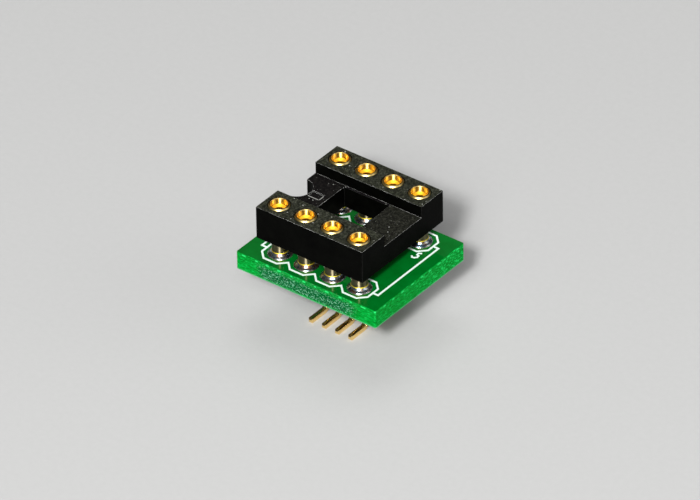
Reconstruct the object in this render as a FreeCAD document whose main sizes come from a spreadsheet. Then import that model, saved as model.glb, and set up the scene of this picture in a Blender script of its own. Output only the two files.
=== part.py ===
import FreeCAD, Part
import math
import os
import Sketcher

# Adapter board with an eight-way turned-contact socket above it and eight gull feet below it.
# The feet stand on z = 0, the socket's mouths look up, and the long side of the board lies along X.
# The end of the socket with the index notch points to -X, and contact 1 is the one at -X, -Y.

SIZES = (
    ("stand_height", 4.8, "from the surface under the feet to the underside of the board"),
    ("board_margin_x", 1.6, "board beyond the moulding at both ends"),
    ("board_margin_y", 0.52, "board beyond the moulding along both sides"),
    ("board_thickness", 1.6, "glass-fibre board"),
    ("board_corner", 0.12, "radius of the board's upright corners"),
    ("pitch", 2.54, "from contact to contact along a row"),
    ("row_spacing", 7.62, "between the two rows of contacts"),
    ("body_height", 2.84, "socket moulding, underside to the top of its rails"),
    ("body_gap", 1.66, "clear height between board and moulding"),
    ("body_edge", 0.06, "bevel of the moulding's edges"),
    ("rail_width", 2.73, "each of the two rails, along Y"),
    ("channel_depth", 1.0, "from the top of the rails down to the two bridges"),
    ("bridge_length", 2.92, "each of the two bridges, along X"),
    ("ledge_width", 0.2, "from a rail to the opening through the moulding"),
    ("notch_radius", 1.27, "index notch in the bridge at -X"),
    ("mark_width", 0.74, "shallow gate recess beside the notch, along Y"),
    ("mark_depth", 0.12, "gate recess, how deep"),
    ("mark_corner", 0.22, "gate recess, corner radius"),
    ("mark_wall", 0.04, "moulding left between the notch and the gate recess"),
    ("mark_clear", 0.51, "from the gate recess to the opening"),
    ("relief_radius", 0.93, "recess round each contact's mouth"),
    ("relief_depth", 0.25, "recess round each contact's mouth"),
    ("lip_height", 0.13, "contact mouth above the rails"),
    ("head_radius", 0.86, "contact head, outside"),
    ("head_bevel", 0.15, "drop of the cone from the head's rim to its outside"),
    ("rim_width", 0.03, "flat rim round the contact's mouth"),
    ("mouth_radius", 0.7, "contact mouth, inside the lip"),
    ("flare_radius", 0.6, "clip's flare, where the mouth's cone ends"),
    ("entry_depth", 0.46, "from the lip down to the clip's flare"),
    ("barrel_radius", 0.64, "turned barrel"),
    ("tail_radius", 0.25, "round tail that goes through the board"),
    ("tail_drop", 1.25, "tail below the board"),
    ("throat_radius", 0.34, "clip's collar, inside"),
    ("flare_depth", 0.2, "drop of the clip's flare"),
    ("collar_length", 0.63, "clip's closed collar under its flare"),
    ("grip_length", 1.35, "from the collar to the tips of the clip's fingers"),
    ("grip_radius", 0.17, "between the fingers, where a lead is gripped"),
    ("hole_radius", 0.5, "hole in the board for a socket contact"),
    ("solder_radius", 1.0, "foot of the solder round a contact, on both faces of the board"),
    ("solder_climb", 0.34, "solder up the barrel, from the board"),
    ("solder_drop", 0.75, "solder down the tail under the board"),
    ("pin_pitch", 1.27, "from foot to foot, and between the two rows of legs"),
    ("pin_side", 0.4, "square wire of the feet"),
    ("pin_reach", 2.72, "from the middle of the part to the tip of a foot"),
    ("pin_bend", 0.18, "inside radius of a foot's bend"),
    ("pin_bevel", 0.1, "bevel at both ends of a foot's wire"),
    ("pin_proud", 0.75, "legs above the board's upper face"),
    ("pin_solder_radius", 0.5, "foot of the solder round a leg"),
    ("pin_solder_height", 0.45, "solder up a leg"),
    ("pin_solder_top", 0.3, "radius of the solder where it ends on a leg"),
    ("carrier_width", 3.4, "moulding that holds the legs, along Y"),
    ("carrier_height", 1.5, "moulding that holds the legs, along Z"),
    ("carrier_groove", 0.2, "depth of its break grooves and corner bevels"),
    ("legend_line", 0.15, "width of a printed line"),
    ("legend_thickness", 0.03, "printed ink"),
    ("bracket_clear", 0.49, "from a loop's end to the bracket beside it, line to line"),
    ("trace_width", 0.35, "copper tracks on the underside"),
    ("trace_thickness", 0.035, "copper tracks on the underside"),
)

CONTACTS_PER_ROW = 4
SIDES = (-1, 1)
SHARED_ORIGIN = -1
POINT_START = 1
POINT_END = 2

# Sizes that several pieces share, as sheet expressions; z = 0 is the surface under the feet.
CARRIER_LENGTH = f"({CONTACTS_PER_ROW} * Sizes.pin_pitch)"
BODY_LENGTH = f"({CONTACTS_PER_ROW} * Sizes.pitch)"
BODY_WIDTH = "(Sizes.row_spacing + Sizes.pitch)"
BOARD_LENGTH = f"({BODY_LENGTH} + 2 * Sizes.board_margin_x)"
BOARD_WIDTH = f"({BODY_WIDTH} + 2 * Sizes.board_margin_y)"
CHANNEL_WIDTH = f"({BODY_WIDTH} - 2 * Sizes.rail_width)"
WINDOW_LENGTH = f"({BODY_LENGTH} - 2 * Sizes.bridge_length)"
WINDOW_WIDTH = f"({CHANNEL_WIDTH} - 2 * Sizes.ledge_width)"
BOARD_TOP = "(Sizes.stand_height + Sizes.board_thickness)"
# Heights above the board's upper face, for what is modelled from that face.
BODY_TOP = "(Sizes.body_gap + Sizes.body_height)"
LIP_TOP = f"({BODY_TOP} + Sizes.lip_height)"
SEAT = f"({BODY_TOP} - Sizes.relief_depth)"
FLARE_TOP = f"({LIP_TOP} - Sizes.entry_depth)"
COLLAR_TOP = f"({FLARE_TOP} - Sizes.flare_depth)"
COLLAR_FOOT = f"({COLLAR_TOP} - Sizes.collar_length)"
GRIP_FOOT = f"({COLLAR_FOOT} - Sizes.grip_length)"
TAIL_FOOT = "(-Sizes.board_thickness - Sizes.tail_drop)"

doc = FreeCAD.newDocument("adapter")
sheet = doc.addObject("Spreadsheet::Sheet", "Sizes")
for row, (alias, value, note) in enumerate(SIZES, start=1):
    sheet.set(f"A{row}", note)
    sheet.set(f"B{row}", str(value))
    sheet.setAlias(f"B{row}", alias)
doc.recompute()

nodes = []


def evaluate(expression):
    """The value of a sheet expression, in millimetres."""
    return float(sheet.evalExpression(expression))


def row_places(pitch, spacing):
    """Places of both rows as x and y expressions, numbered round the part from -X, -Y."""
    half_row = (CONTACTS_PER_ROW - 1) / 2
    steps = [i - half_row for i in range(CONTACTS_PER_ROW)]
    front = [(f"({step} * {pitch})", f"(-{spacing} / 2)") for step in steps]
    back = [(f"({-step} * {pitch})", f"({spacing} / 2)") for step in steps]
    return front + back


CONTACT_PLACES = row_places("Sizes.pitch", "Sizes.row_spacing")
LEG_PLACES = row_places("Sizes.pin_pitch", "Sizes.pin_pitch")


def new_body(label, x="0", y="0", z="0", turn=0):
    """A body whose own origin lies at x, y, z (sheet expressions), turned about Z by turn degrees."""
    body = doc.addObject("PartDesign::Body", label)
    body.Label = label
    body.Placement.Rotation = FreeCAD.Rotation(FreeCAD.Vector(0, 0, 1), turn)
    body.setExpression("Placement.Base.x", x)
    body.setExpression("Placement.Base.y", y)
    body.setExpression("Placement.Base.z", z)
    nodes.append(body)
    return body


def new_sketch(body, plane, offset="0"):
    """A sketch on one of the body's own origin planes, lifted along that plane's normal by offset."""
    sketch = body.newObject("Sketcher::SketchObject", f"{body.Name}_sketch")
    support = [item for item in body.Origin.OriginFeatures if item.Role == plane]
    sketch.AttachmentSupport = [(support[0], "")]
    sketch.MapMode = "FlatFace"
    sketch.setExpression("AttachmentOffset.Base.z", offset)
    return sketch


def pin_point(sketch, edge, end, x, y):
    """Ties one end of an edge to x and y, measured from the sketch's origin."""
    for kind, expression in (("DistanceX", x), ("DistanceY", y)):
        constraint = Sketcher.Constraint(kind, SHARED_ORIGIN, 1, edge, end, evaluate(expression))
        index = sketch.addConstraint(constraint)
        sketch.setExpression(f"Constraints[{index}]", expression)


def arc_between(start, end, radius, side):
    """An arc from start to end whose centre lies on the left (side 1) or the right (-1)."""
    chord = end - start
    reach = math.sqrt(max(radius ** 2 - (chord.Length / 2) ** 2, 0))
    left = FreeCAD.Vector(-chord.y, chord.x, 0).normalize()
    centre = (start + end) / 2 + left * reach * side
    begin, finish = (start, end) if side > 0 else (end, start)
    first = math.atan2(begin.y - centre.y, begin.x - centre.x)
    last = math.atan2(finish.y - centre.y, finish.x - centre.x)
    circle = Part.Circle(centre, FreeCAD.Vector(0, 0, 1), radius)
    return Part.ArcOfCircle(circle, first, last + (2 * math.pi if last < first else 0))


def outline(sketch, corners, arcs=None):
    """A closed outline through corners; arcs maps an edge's number to (radius, side of its centre)."""
    arcs = arcs or {}
    points = [FreeCAD.Vector(evaluate(x), evaluate(y), 0) for x, y in corners]
    ends = []
    for i, start in enumerate(points):
        end = points[(i + 1) % len(points)]
        if i in arcs:
            radius, side = arcs[i]
            edge = sketch.addGeometry(arc_between(start, end, evaluate(radius), side))
            index = sketch.addConstraint(Sketcher.Constraint("Radius", edge, evaluate(radius)))
            sketch.setExpression(f"Constraints[{index}]", radius)
            forward = side > 0
        else:
            edge = sketch.addGeometry(Part.LineSegment(start, end))
            forward = True
        first, last = (POINT_START, POINT_END) if forward else (POINT_END, POINT_START)
        ends.append((edge, first, last))
    for i, (edge, first, _) in enumerate(ends):
        before, _, before_last = ends[i - 1]
        sketch.addConstraint(Sketcher.Constraint("Coincident", before, before_last, edge, first))
        pin_point(sketch, edge, first, *corners[i])


def rectangle(sketch, x, y, length, width):
    """A rectangle about x, y."""
    left, right = f"({x} - {length} / 2)", f"({x} + {length} / 2)"
    low, high = f"({y} - {width} / 2)", f"({y} + {width} / 2)"
    outline(sketch, [(left, low), (right, low), (right, high), (left, high)])


def circles(sketch, places, radius):
    """Equal circles about places."""
    for x, y in places:
        centre = FreeCAD.Vector(evaluate(x), evaluate(y), 0)
        size = evaluate(radius)
        edge = sketch.addGeometry(Part.Circle(centre, FreeCAD.Vector(0, 0, 1), size))
        pin_point(sketch, edge, 3, x, y)
        index = sketch.addConstraint(Sketcher.Constraint("Radius", edge, size))
        sketch.setExpression(f"Constraints[{index}]", radius)


def pad(body, sketch, length):
    feature = body.newObject("PartDesign::Pad", f"{body.Name}_pad")
    feature.Profile = sketch
    feature.setExpression("Length", length)
    return feature


def pocket(body, sketch, depth):
    """Cuts down from the sketch, against its normal."""
    feature = body.newObject("PartDesign::Pocket", f"{body.Name}_pocket")
    feature.Profile = sketch
    feature.setExpression("Length", depth)
    doc.recompute()
    if feature.Shape.Volume >= feature.BaseFeature.Shape.Volume:
        raise RuntimeError(f"{feature.Name} cuts nothing")
    return feature


def revolve(body, sketch):
    """Turns a profile drawn on the XZ plane right round the body's Z axis."""
    feature = body.newObject("PartDesign::Revolution", f"{body.Name}_turned")
    feature.Profile = sketch
    feature.ReferenceAxis = (sketch, ["V_Axis"])
    feature.Angle = 360
    return feature


def dress(body, kind, feature, size_name, size, test):
    """A fillet or chamfer on each edge of feature that test, given its two end points, accepts."""
    doc.recompute()
    names = []
    for i, edge in enumerate(feature.Shape.Edges, start=1):
        first, last = edge.Vertexes[0].Point, edge.Vertexes[-1].Point
        if test(first, last):
            names.append(f"Edge{i}")
    if not names:
        raise RuntimeError(f"{body.Label} has no edge to dress")
    dressed = body.newObject(f"PartDesign::{kind}", f"{body.Name}_{kind.lower()}")
    dressed.Base = (feature, names)
    dressed.setExpression(size_name, size)
    return dressed


def near(a, b):
    """Whether two lengths are the same within a tenth of a micrometre."""
    return abs(a - b) < 1e-4


def build_board():
    """The board: a hole for each soldered contact, and each leg's filled hole cut to the wire."""
    body = new_body("board", z="Sizes.stand_height")
    sketch = new_sketch(body, "XY_Plane")
    rectangle(sketch, "0", "0", BOARD_LENGTH, BOARD_WIDTH)
    circles(sketch, CONTACT_PLACES, "Sizes.hole_radius")
    for x, y in LEG_PLACES:
        rectangle(sketch, x, y, "Sizes.pin_side", "Sizes.pin_side")
    plate = pad(body, sketch, "Sizes.board_thickness")
    half_length = evaluate(BOARD_LENGTH) / 2

    def upright_corner(first, last):
        upright = not near(first.z, last.z)
        return upright and near(abs(first.x), half_length) and near(abs(last.x), half_length)

    dress(body, "Fillet", plate, "Radius", "Sizes.board_corner", upright_corner)


def build_socket_body():
    """The black moulding: two rails joined by two lower bridges, with a window between them."""
    body = new_body("socket_body", z=f"({BOARD_TOP} + Sizes.body_gap)")
    half_length, half_width = f"({BODY_LENGTH} / 2)", f"({BODY_WIDTH} / 2)"
    notch = "Sizes.notch_radius"
    base = new_sketch(body, "XY_Plane")
    corners = [
        (f"(-{half_length})", f"(-{half_width})"),
        (half_length, f"(-{half_width})"),
        (half_length, half_width),
        (f"(-{half_length})", half_width),
        (f"(-{half_length})", notch),
        (f"({notch} - {half_length})", "0"),
        (f"(-{half_length})", f"(-{notch})"),
    ]
    outline(base, corners, arcs={4: (notch, -1), 5: (notch, -1)})
    rectangle(base, "0", "0", WINDOW_LENGTH, WINDOW_WIDTH)
    circles(base, CONTACT_PLACES, "Sizes.barrel_radius")
    pad(body, base, "Sizes.body_height")

    channel = new_sketch(body, "XY_Plane", "Sizes.body_height")
    rectangle(channel, "0", "0", f"(2 * {BODY_LENGTH})", CHANNEL_WIDTH)
    pocket(body, channel, "Sizes.channel_depth")

    relief = new_sketch(body, "XY_Plane", "Sizes.body_height")
    circles(relief, CONTACT_PLACES, "Sizes.relief_radius")
    pocket(body, relief, "Sizes.relief_depth")

    bridge = "(Sizes.body_height - Sizes.channel_depth)"
    mark_left = f"({notch} + Sizes.mark_wall - {half_length})"
    mark_right = f"(-{WINDOW_LENGTH} / 2 - Sizes.mark_clear)"
    side, corner = "(Sizes.mark_width / 2)", "Sizes.mark_corner"
    mark = new_sketch(body, "XY_Plane", bridge)
    mark_corners = [
        (f"({mark_left} + {corner})", f"(-{side})"),
        (f"({mark_right} - {corner})", f"(-{side})"),
        (mark_right, f"({corner} - {side})"),
        (mark_right, side),
        (mark_left, side),
        (mark_left, f"({corner} - {side})"),
    ]
    outline(mark, mark_corners, arcs={1: (corner, 1), 5: (corner, 1)})
    cut = pocket(body, mark, "Sizes.mark_depth")

    edge_x, edge_y = evaluate(half_length), evaluate(half_width)
    top, bridge_top = evaluate("Sizes.body_height"), evaluate(bridge)
    window_x, window_y = evaluate(WINDOW_LENGTH) / 2, evaluate(WINDOW_WIDTH) / 2

    notch_y = evaluate(notch)

    def moulded_edge(first, last):
        """Outer uprights, the rails' upper edges, and the straight upper edges of the bridges."""
        ends = (first, last)
        if all(near(abs(p.y), notch_y) for p in ends):
            return False
        if not near(first.z, last.z):
            return all(near(abs(p.x), edge_x) and near(abs(p.y), edge_y) for p in ends)
        if near(first.z, top):
            return all(near(abs(p.x), edge_x) for p in ends)
        if near(first.z, bridge_top):
            across = near(first.x, last.x) and near(abs(first.x), edge_x)
            return across or all(
                near(abs(p.x), window_x) and near(abs(p.y), window_y) for p in ends
            )
        return False

    dress(body, "Chamfer", cut, "Size", "Sizes.body_edge", moulded_edge)


def build_contact(number, x, y):
    """One soldered contact: a turned sleeve with its spring clip inside, and solder at the board."""
    body = new_body(f"contact_{number}", x, y, BOARD_TOP)
    sketch = new_sketch(body, "XZ_Plane")
    barrel, tail, hole = "Sizes.barrel_radius", "Sizes.tail_radius", "Sizes.hole_radius"
    throat, grip, foot = "Sizes.throat_radius", "Sizes.grip_radius", "Sizes.solder_radius"
    under = "(-Sizes.board_thickness)"
    outline(sketch, [
        ("0", TAIL_FOOT),
        (tail, TAIL_FOOT),
        (tail, f"({under} - Sizes.solder_drop)"),
        (foot, under),
        (hole, under),
        (hole, "0"),
        (foot, "0"),
        (barrel, "Sizes.solder_climb"),
        (barrel, SEAT),
        ("Sizes.head_radius", SEAT),
        ("Sizes.head_radius", f"({LIP_TOP} - Sizes.head_bevel)"),
        ("(Sizes.mouth_radius + Sizes.rim_width)", LIP_TOP),
        ("Sizes.mouth_radius", LIP_TOP),
        ("Sizes.flare_radius", FLARE_TOP),
        (throat, COLLAR_TOP),
        (throat, COLLAR_FOOT),
        (grip, COLLAR_FOOT),
        (grip, GRIP_FOOT),
        ("0", GRIP_FOOT),
    ])
    revolve(body, sketch)


def build_foot(number, x, y):
    """One bent wire soldered into the board: a leg, and a foot that lies flat, pointing outwards."""
    turn = 0 if number <= CONTACTS_PER_ROW else 180
    body = new_body(f"foot_pin_{number}", x, y, "0", turn)
    sketch = new_sketch(body, "YZ_Plane", "(-Sizes.pin_side / 2)")
    half = "(Sizes.pin_side / 2)"
    tip = "(Sizes.pin_pitch / 2 - Sizes.pin_reach)"
    top = f"({BOARD_TOP} + Sizes.pin_proud)"
    outline(sketch, [
        (tip, "0"),
        (half, "0"),
        (half, top),
        (f"(-{half})", top),
        (f"(-{half})", "Sizes.pin_side"),
        (tip, "Sizes.pin_side"),
    ])
    wire = pad(body, sketch, "Sizes.pin_side")
    outer_y, inner_y, inner_z = evaluate(half), -evaluate(half), evaluate("Sizes.pin_side")

    def outer_bend(first, last):
        return all(near(p.y, outer_y) and near(p.z, 0) for p in (first, last))

    def inner_bend(first, last):
        return all(near(p.y, inner_y) and near(p.z, inner_z) for p in (first, last))

    bent = dress(body, "Fillet", wire, "Radius", "(Sizes.pin_bend + Sizes.pin_side)", outer_bend)
    bent = dress(body, "Fillet", bent, "Radius", "Sizes.pin_bend", inner_bend)
    tip_y, top_z = evaluate(tip), evaluate(top)

    def wire_end(first, last):
        at_tip = near(first.y, tip_y) and near(last.y, tip_y)
        return at_tip or (near(first.z, top_z) and near(last.z, top_z))

    dress(body, "Chamfer", bent, "Size", "Sizes.pin_bevel", wire_end)
    solder = new_sketch(body, "XZ_Plane")
    crown = f"({BOARD_TOP} + Sizes.pin_solder_height)"
    outline(solder, [
        ("0", BOARD_TOP),
        ("Sizes.pin_solder_radius", BOARD_TOP),
        ("Sizes.pin_solder_top", crown),
        ("0", crown),
    ])
    revolve(body, solder)


def build_carrier():
    """The lower moulding that holds the legs: one cell a leg pair, with break grooves between."""
    height = "Sizes.carrier_height"
    level = f"(Sizes.stand_height - {height})"
    body = new_body("foot_carrier", z=level)
    sketch = new_sketch(body, "XY_Plane")
    groove, side = "Sizes.carrier_groove", "(Sizes.carrier_width / 2)"
    corners = []
    for facing in SIDES:
        for cell in range(CONTACTS_PER_ROW):
            start, end = cell - CONTACTS_PER_ROW / 2, cell + 1 - CONTACTS_PER_ROW / 2
            left = f"({-facing * start} * Sizes.pin_pitch)"
            right = f"({-facing * end} * Sizes.pin_pitch)"
            corners.append((left, f"({facing} * ({side} - {groove}))"))
            corners.append((f"({left} + {-facing} * {groove})", f"({facing} * {side})"))
            corners.append((f"({right} - {-facing} * {groove})", f"({facing} * {side})"))
        corners.append((right, f"({facing} * ({side} - {groove}))"))
    outline(sketch, corners)
    for x, y in LEG_PLACES:
        rectangle(sketch, x, y, "Sizes.pin_side", "Sizes.pin_side")
    pad(body, sketch, height)


def build_traces():
    """Copper tracks on the underside: slantwise from each contact, then straight to its leg."""
    thickness = "Sizes.trace_thickness"
    body = new_body("bottom_traces", z=f"(Sizes.stand_height - {thickness})")
    sketch = new_sketch(body, "XY_Plane")
    half, slant = "(Sizes.trace_width / 2)", "(Sizes.trace_width / sqrt(8))"
    mitre = f"({half} * (sqrt(2) - 1))"
    for (x, y), (leg_x, leg_y) in zip(CONTACT_PLACES, LEG_PLACES):
        inward = -math.copysign(1, evaluate(x))
        upward = -math.copysign(1, evaluate(y))
        bend = f"({y} + {upward * inward} * ({leg_x} - {x}))"
        lean = inward * upward
        outline(sketch, [
            (f"({x} + {slant})", f"({y} - {lean} * {slant})"),
            (f"({leg_x} + {half})", f"({bend} - {lean} * {mitre})"),
            (f"({leg_x} + {half})", leg_y),
            (f"({leg_x} - {half})", leg_y),
            (f"({leg_x} - {half})", f"({bend} + {lean} * {mitre})"),
            (f"({x} - {slant})", f"({y} + {lean} * {slant})"),
        ])
    pad(body, sketch, thickness)
    ends = new_sketch(body, "XY_Plane", thickness)
    circles(ends, CONTACT_PLACES, "Sizes.solder_radius")
    rectangle(ends, "0", "0", CARRIER_LENGTH, "Sizes.carrier_width")
    pocket(body, ends, f"(2 * {thickness})")


def print_line(name, corners, closed_loop):
    """A printed solid: a line along a closed loop, or the filled outline that corners give."""
    sketch = doc.addObject("Sketcher::SketchObject", f"{name}_sketch")
    sketch.setExpression("Placement.Base.z", BOARD_TOP)
    outline(sketch, corners)
    doc.recompute()
    area = sketch
    if closed_loop:
        rim = doc.addObject("Part::Offset2D", f"{name}_rim")
        rim.Source = sketch
        rim.Join = "Intersection"
        rim.setExpression("Value", "Sizes.legend_line / 2")
        area = doc.addObject("Part::Offset2D", f"{name}_band")
        area.Source = rim
        area.Join = "Intersection"
        area.Fill = True
        area.setExpression("Value", "-Sizes.legend_line")
    ink = doc.addObject("Part::Extrusion", name)
    ink.Base = area
    ink.DirMode = "Custom"
    ink.Dir = FreeCAD.Vector(0, 0, 1)
    ink.Solid = True
    ink.setExpression("LengthFwd", "Sizes.legend_thickness")
    return ink


def build_legend():
    """The printed outline: a loop round each row of lands and a bracket along each end."""
    inks = []
    last = CONTACTS_PER_ROW - 1
    for facing in SIDES:
        corners = []
        for side in SIDES:
            far = f"({facing} * Sizes.row_spacing / 2 + {side} * Sizes.pitch / 2)"
            dip = f"({facing} * Sizes.row_spacing / 2 + {side} * Sizes.pitch / 4)"
            for place in range(CONTACTS_PER_ROW):
                step = -side * (place - last / 2)
                if place == 0:
                    corners.append((f"({step + side / 2} * Sizes.pitch)", dip))
                corners.append((f"({step + side / 4} * Sizes.pitch)", far))
                corners.append((f"({step - side / 4} * Sizes.pitch)", far))
                corners.append((f"({step - side / 2} * Sizes.pitch)", dip))
        inks.append(print_line(f"loop_{facing + 2}", corners, True))
    half_line = "(Sizes.legend_line / 2)"
    for side in SIDES:
        loop_end = f"({side * CONTACTS_PER_ROW / 2} * Sizes.pitch)"
        middle = f"({loop_end} + {side} * Sizes.bracket_clear)"
        outer, inner = f"({middle} + {side} * {half_line})", f"({middle} - {side} * {half_line})"
        reach = "(Sizes.row_spacing / 2)"
        high, low = f"({reach} + {half_line})", f"({reach} - {half_line})"
        inks.append(print_line(f"bracket_{side + 2}", [
            (loop_end, f"(-{high})"),
            (outer, f"(-{high})"),
            (outer, high),
            (loop_end, high),
            (loop_end, low),
            (inner, low),
            (inner, f"(-{low})"),
            (loop_end, f"(-{low})"),
        ], False))
    legend = doc.addObject("Part::MultiFuse", "legend")
    legend.Label = "legend"
    legend.Shapes = inks
    legend.Refine = True
    nodes.append(legend)


build_board()
build_socket_body()
build_carrier()
build_traces()
build_legend()
for count, (place_x, place_y) in enumerate(CONTACT_PLACES, start=1):
    build_contact(count, place_x, place_y)
for count, (place_x, place_y) in enumerate(LEG_PLACES, start=1):
    build_foot(count, place_x, place_y)

doc.recompute()
for item in doc.Objects:
    if "Invalid" in item.State or "Error" in item.State:
        raise RuntimeError(f"{item.Label} failed: {item.State}")
for node in nodes:
    if node.Shape.isNull() or not node.Shape.isValid():
        raise RuntimeError(f"{node.Label} has no valid shape")

os.makedirs("parts", exist_ok=True)
for node in nodes:
    node.Shape.exportStep(f"parts/{node.Label}.step")
    print(node.Label, len(node.Shape.Solids), round(node.Shape.Volume, 4))
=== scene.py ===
import math
import random

import bmesh
import bpy
from mathutils import Matrix, Vector, noise


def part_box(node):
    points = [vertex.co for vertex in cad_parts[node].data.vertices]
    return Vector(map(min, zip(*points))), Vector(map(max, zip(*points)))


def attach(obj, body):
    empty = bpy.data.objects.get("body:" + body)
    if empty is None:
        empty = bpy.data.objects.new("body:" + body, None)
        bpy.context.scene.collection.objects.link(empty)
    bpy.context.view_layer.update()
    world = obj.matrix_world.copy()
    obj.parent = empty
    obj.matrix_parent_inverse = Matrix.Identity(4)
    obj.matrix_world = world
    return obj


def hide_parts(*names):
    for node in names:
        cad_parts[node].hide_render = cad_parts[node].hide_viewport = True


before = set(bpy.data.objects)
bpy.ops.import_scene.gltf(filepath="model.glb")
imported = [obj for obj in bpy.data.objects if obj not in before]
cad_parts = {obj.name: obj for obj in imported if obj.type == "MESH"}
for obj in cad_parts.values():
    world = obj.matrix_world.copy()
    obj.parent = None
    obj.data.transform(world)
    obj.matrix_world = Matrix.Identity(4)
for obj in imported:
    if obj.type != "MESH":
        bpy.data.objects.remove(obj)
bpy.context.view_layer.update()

# Shapes are worked out in millimetres and go into the frame in metres.
MM = 0.001
NUMBERS = range(1, 9)

# Straight sides that stand for a circle: on a contact, round a hole of the moulding, on a land.
SEGMENTS = 96
HOLE_SEGMENTS = 72
LAND_SEGMENTS = 64


def box_mm(node):
    """Lowest and highest corner of a CAD node, in millimetres."""
    low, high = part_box(node)
    return low / MM, high / MM


def middle(node):
    """The x and y of the middle of a CAD node, in millimetres."""
    low, high = box_mm(node)
    return (low.x + high.x) / 2, (low.y + high.y) / 2


board_low, board_high = box_mm("board")
body_low, body_high = box_mm("socket_body")
BOARD_TOP, BOARD_FOOT = board_high.z, board_low.z
RAIL_TOP, BODY_FOOT = body_high.z, body_low.z

# The legs stand in two rows, this far from the middle.
LEG_ROW = 0.635

CONTACTS = {n: middle(f"contact_{n}") for n in NUMBERS}
LEGS = {}
for n in NUMBERS:
    foot_x, foot_y = middle(f"foot_pin_{n}")
    LEGS[n] = (foot_x, math.copysign(LEG_ROW, foot_y))

# Socket moulding: two rails along x, lower bridges between them, and what is cut out of it.
# The sides of a cut are given by their distance from the middle.
BRIDGE_DROP = 1.0
RAIL_INSIDE = 2.35
OPENING_X, OPENING_Y = 2.16, 2.15
NOTCH_RADIUS = 1.27
GATE_LEFT, GATE_RIGHT, GATE_SIDE, GATE_DEPTH = -3.77, -2.67, 0.37, 0.12
BARREL_HOLE = 0.655
RELIEF_RADIUS, RELIEF_DEPTH = 0.93, 0.25

# Contact: heights above the board's upper face.
LIP = 4.63
SEAT = 4.25
FLARE_TOP, COLLAR_TOP, COLLAR_FOOT, TIP_FOOT = 4.23, 4.09, 3.34, 1.99
BORE_TOP, BORE_FOOT, BORE_POINT = 3.97, 1.15, 0.95
BEAD_FOOT, BARREL_FOOT, TAIL_END = 0.33, 0.1, -2.85

# Contact: radii, the size of the head's bevel, and the clip's thickness and slits.
HEAD, RIM, MOUTH, ENTRY, BORE = 0.86, 0.785, 0.72, 0.60, 0.45
BARREL, TAIL = 0.64, 0.25
BEVEL = 0.12
THROAT, GRIP, FLARE = 0.34, 0.17, 0.555
WALL, SLIT = 0.08, 0.12

# Lands: outer and inner radius at a contact and at a leg, and the thickness of the copper.
CONTACT_LAND = (1.0, 0.5)
LEG_LAND = (0.5, 0.34)
COPPER = 0.035

# Board and foot carrier.
BOARD_CORNER = 0.12
CARRIER_PITCH, CARRIER_GROOVE = 1.27, 0.2

# Strokes of the figure beside contact 5, in the board's own x and y.
FIGURE = (
    (4.52, 1.84), (4.62, 1.74), (4.80, 1.77), (4.95, 1.95),
    (4.93, 2.14), (4.76, 2.20), (4.72, 2.42), (4.90, 2.52),
)


# Materials

def shader(name):
    """A new material with its node tree, Principled shader and object coordinates in millimetres."""
    material = bpy.data.materials.new(name)
    material.use_nodes = True
    tree = material.node_tree
    surface = tree.nodes["Principled BSDF"]
    place = tree.nodes.new("ShaderNodeTexCoord")
    return material, tree, surface, stretch(tree, place.outputs["Object"], 1000, 1000, 1000)


def stretch(tree, vector, x, y, z):
    """Coordinates multiplied by x, y and z."""
    node = tree.nodes.new("ShaderNodeMapping")
    node.inputs["Scale"].default_value = (x, y, z)
    tree.links.new(vector, node.inputs["Vector"])
    return node.outputs["Vector"]


def components(tree, vector):
    """The x, y and z of a vector."""
    split = tree.nodes.new("ShaderNodeSeparateXYZ")
    tree.links.new(vector, split.inputs["Vector"])
    return split.outputs["X"], split.outputs["Y"], split.outputs["Z"]


def noise_of(tree, vector, scale, detail=3.0, roughness=0.55):
    """Soft noise between 0 and 1, with about scale bumps in each unit of the coordinates."""
    node = tree.nodes.new("ShaderNodeTexNoise")
    node.inputs["Scale"].default_value = scale
    node.inputs["Detail"].default_value = detail
    node.inputs["Roughness"].default_value = roughness
    tree.links.new(vector, node.inputs["Vector"])
    return node.outputs["Fac"]


def ramp(tree, value, *stops):
    """A colour ramp: stops are (position, colour) with a grey number or an r, g, b colour."""
    node = tree.nodes.new("ShaderNodeValToRGB")
    elements = node.color_ramp.elements
    while len(elements) < len(stops):
        elements.new(0.5)
    for element, (position, colour) in zip(elements, stops):
        element.position = position
        if isinstance(colour, (int, float)):
            colour = (colour, colour, colour)
        element.color = (*colour, 1)
    tree.links.new(value, node.inputs["Fac"])
    return node.outputs["Color"]


def mix(tree, factor, a, b):
    """Mixes two colours, each a socket or an r, g, b colour, by a factor socket."""
    node = tree.nodes.new("ShaderNodeMix")
    node.data_type = "RGBA"
    for socket, value in ((node.inputs["Factor"], factor), (node.inputs["A"], a), (node.inputs["B"], b)):
        if isinstance(value, bpy.types.NodeSocket):
            tree.links.new(value, socket)
        else:
            socket.default_value = (*value, 1)
    return node.outputs["Result"]


def maths(tree, operation, a, b=0.0):
    """One operation on one or two values, each a socket or a number."""
    node = tree.nodes.new("ShaderNodeMath")
    node.operation = operation
    for socket, value in zip(node.inputs, (a, b)):
        if isinstance(value, bpy.types.NodeSocket):
            tree.links.new(value, socket)
        else:
            socket.default_value = value
    return node.outputs[0]


def times(tree, first, *others):
    """The product of two or more values."""
    product = first
    for other in others:
        product = maths(tree, "MULTIPLY", product, other)
    return product


def within(tree, value, centre, reach):
    """1 where a value lies within reach of a centre, and 0 elsewhere."""
    offset = maths(tree, "ABSOLUTE", maths(tree, "SUBTRACT", value, centre))
    return maths(tree, "LESS_THAN", offset, reach)


def patch(tree, x, y, place):
    """1 in a rectangle of the x and y plane, and 0 elsewhere.

    Its place is (centre, reach) along x and (centre, reach) along y.
    """
    along, across = place
    return times(tree, within(tree, x, *along), within(tree, y, *across))


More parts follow.
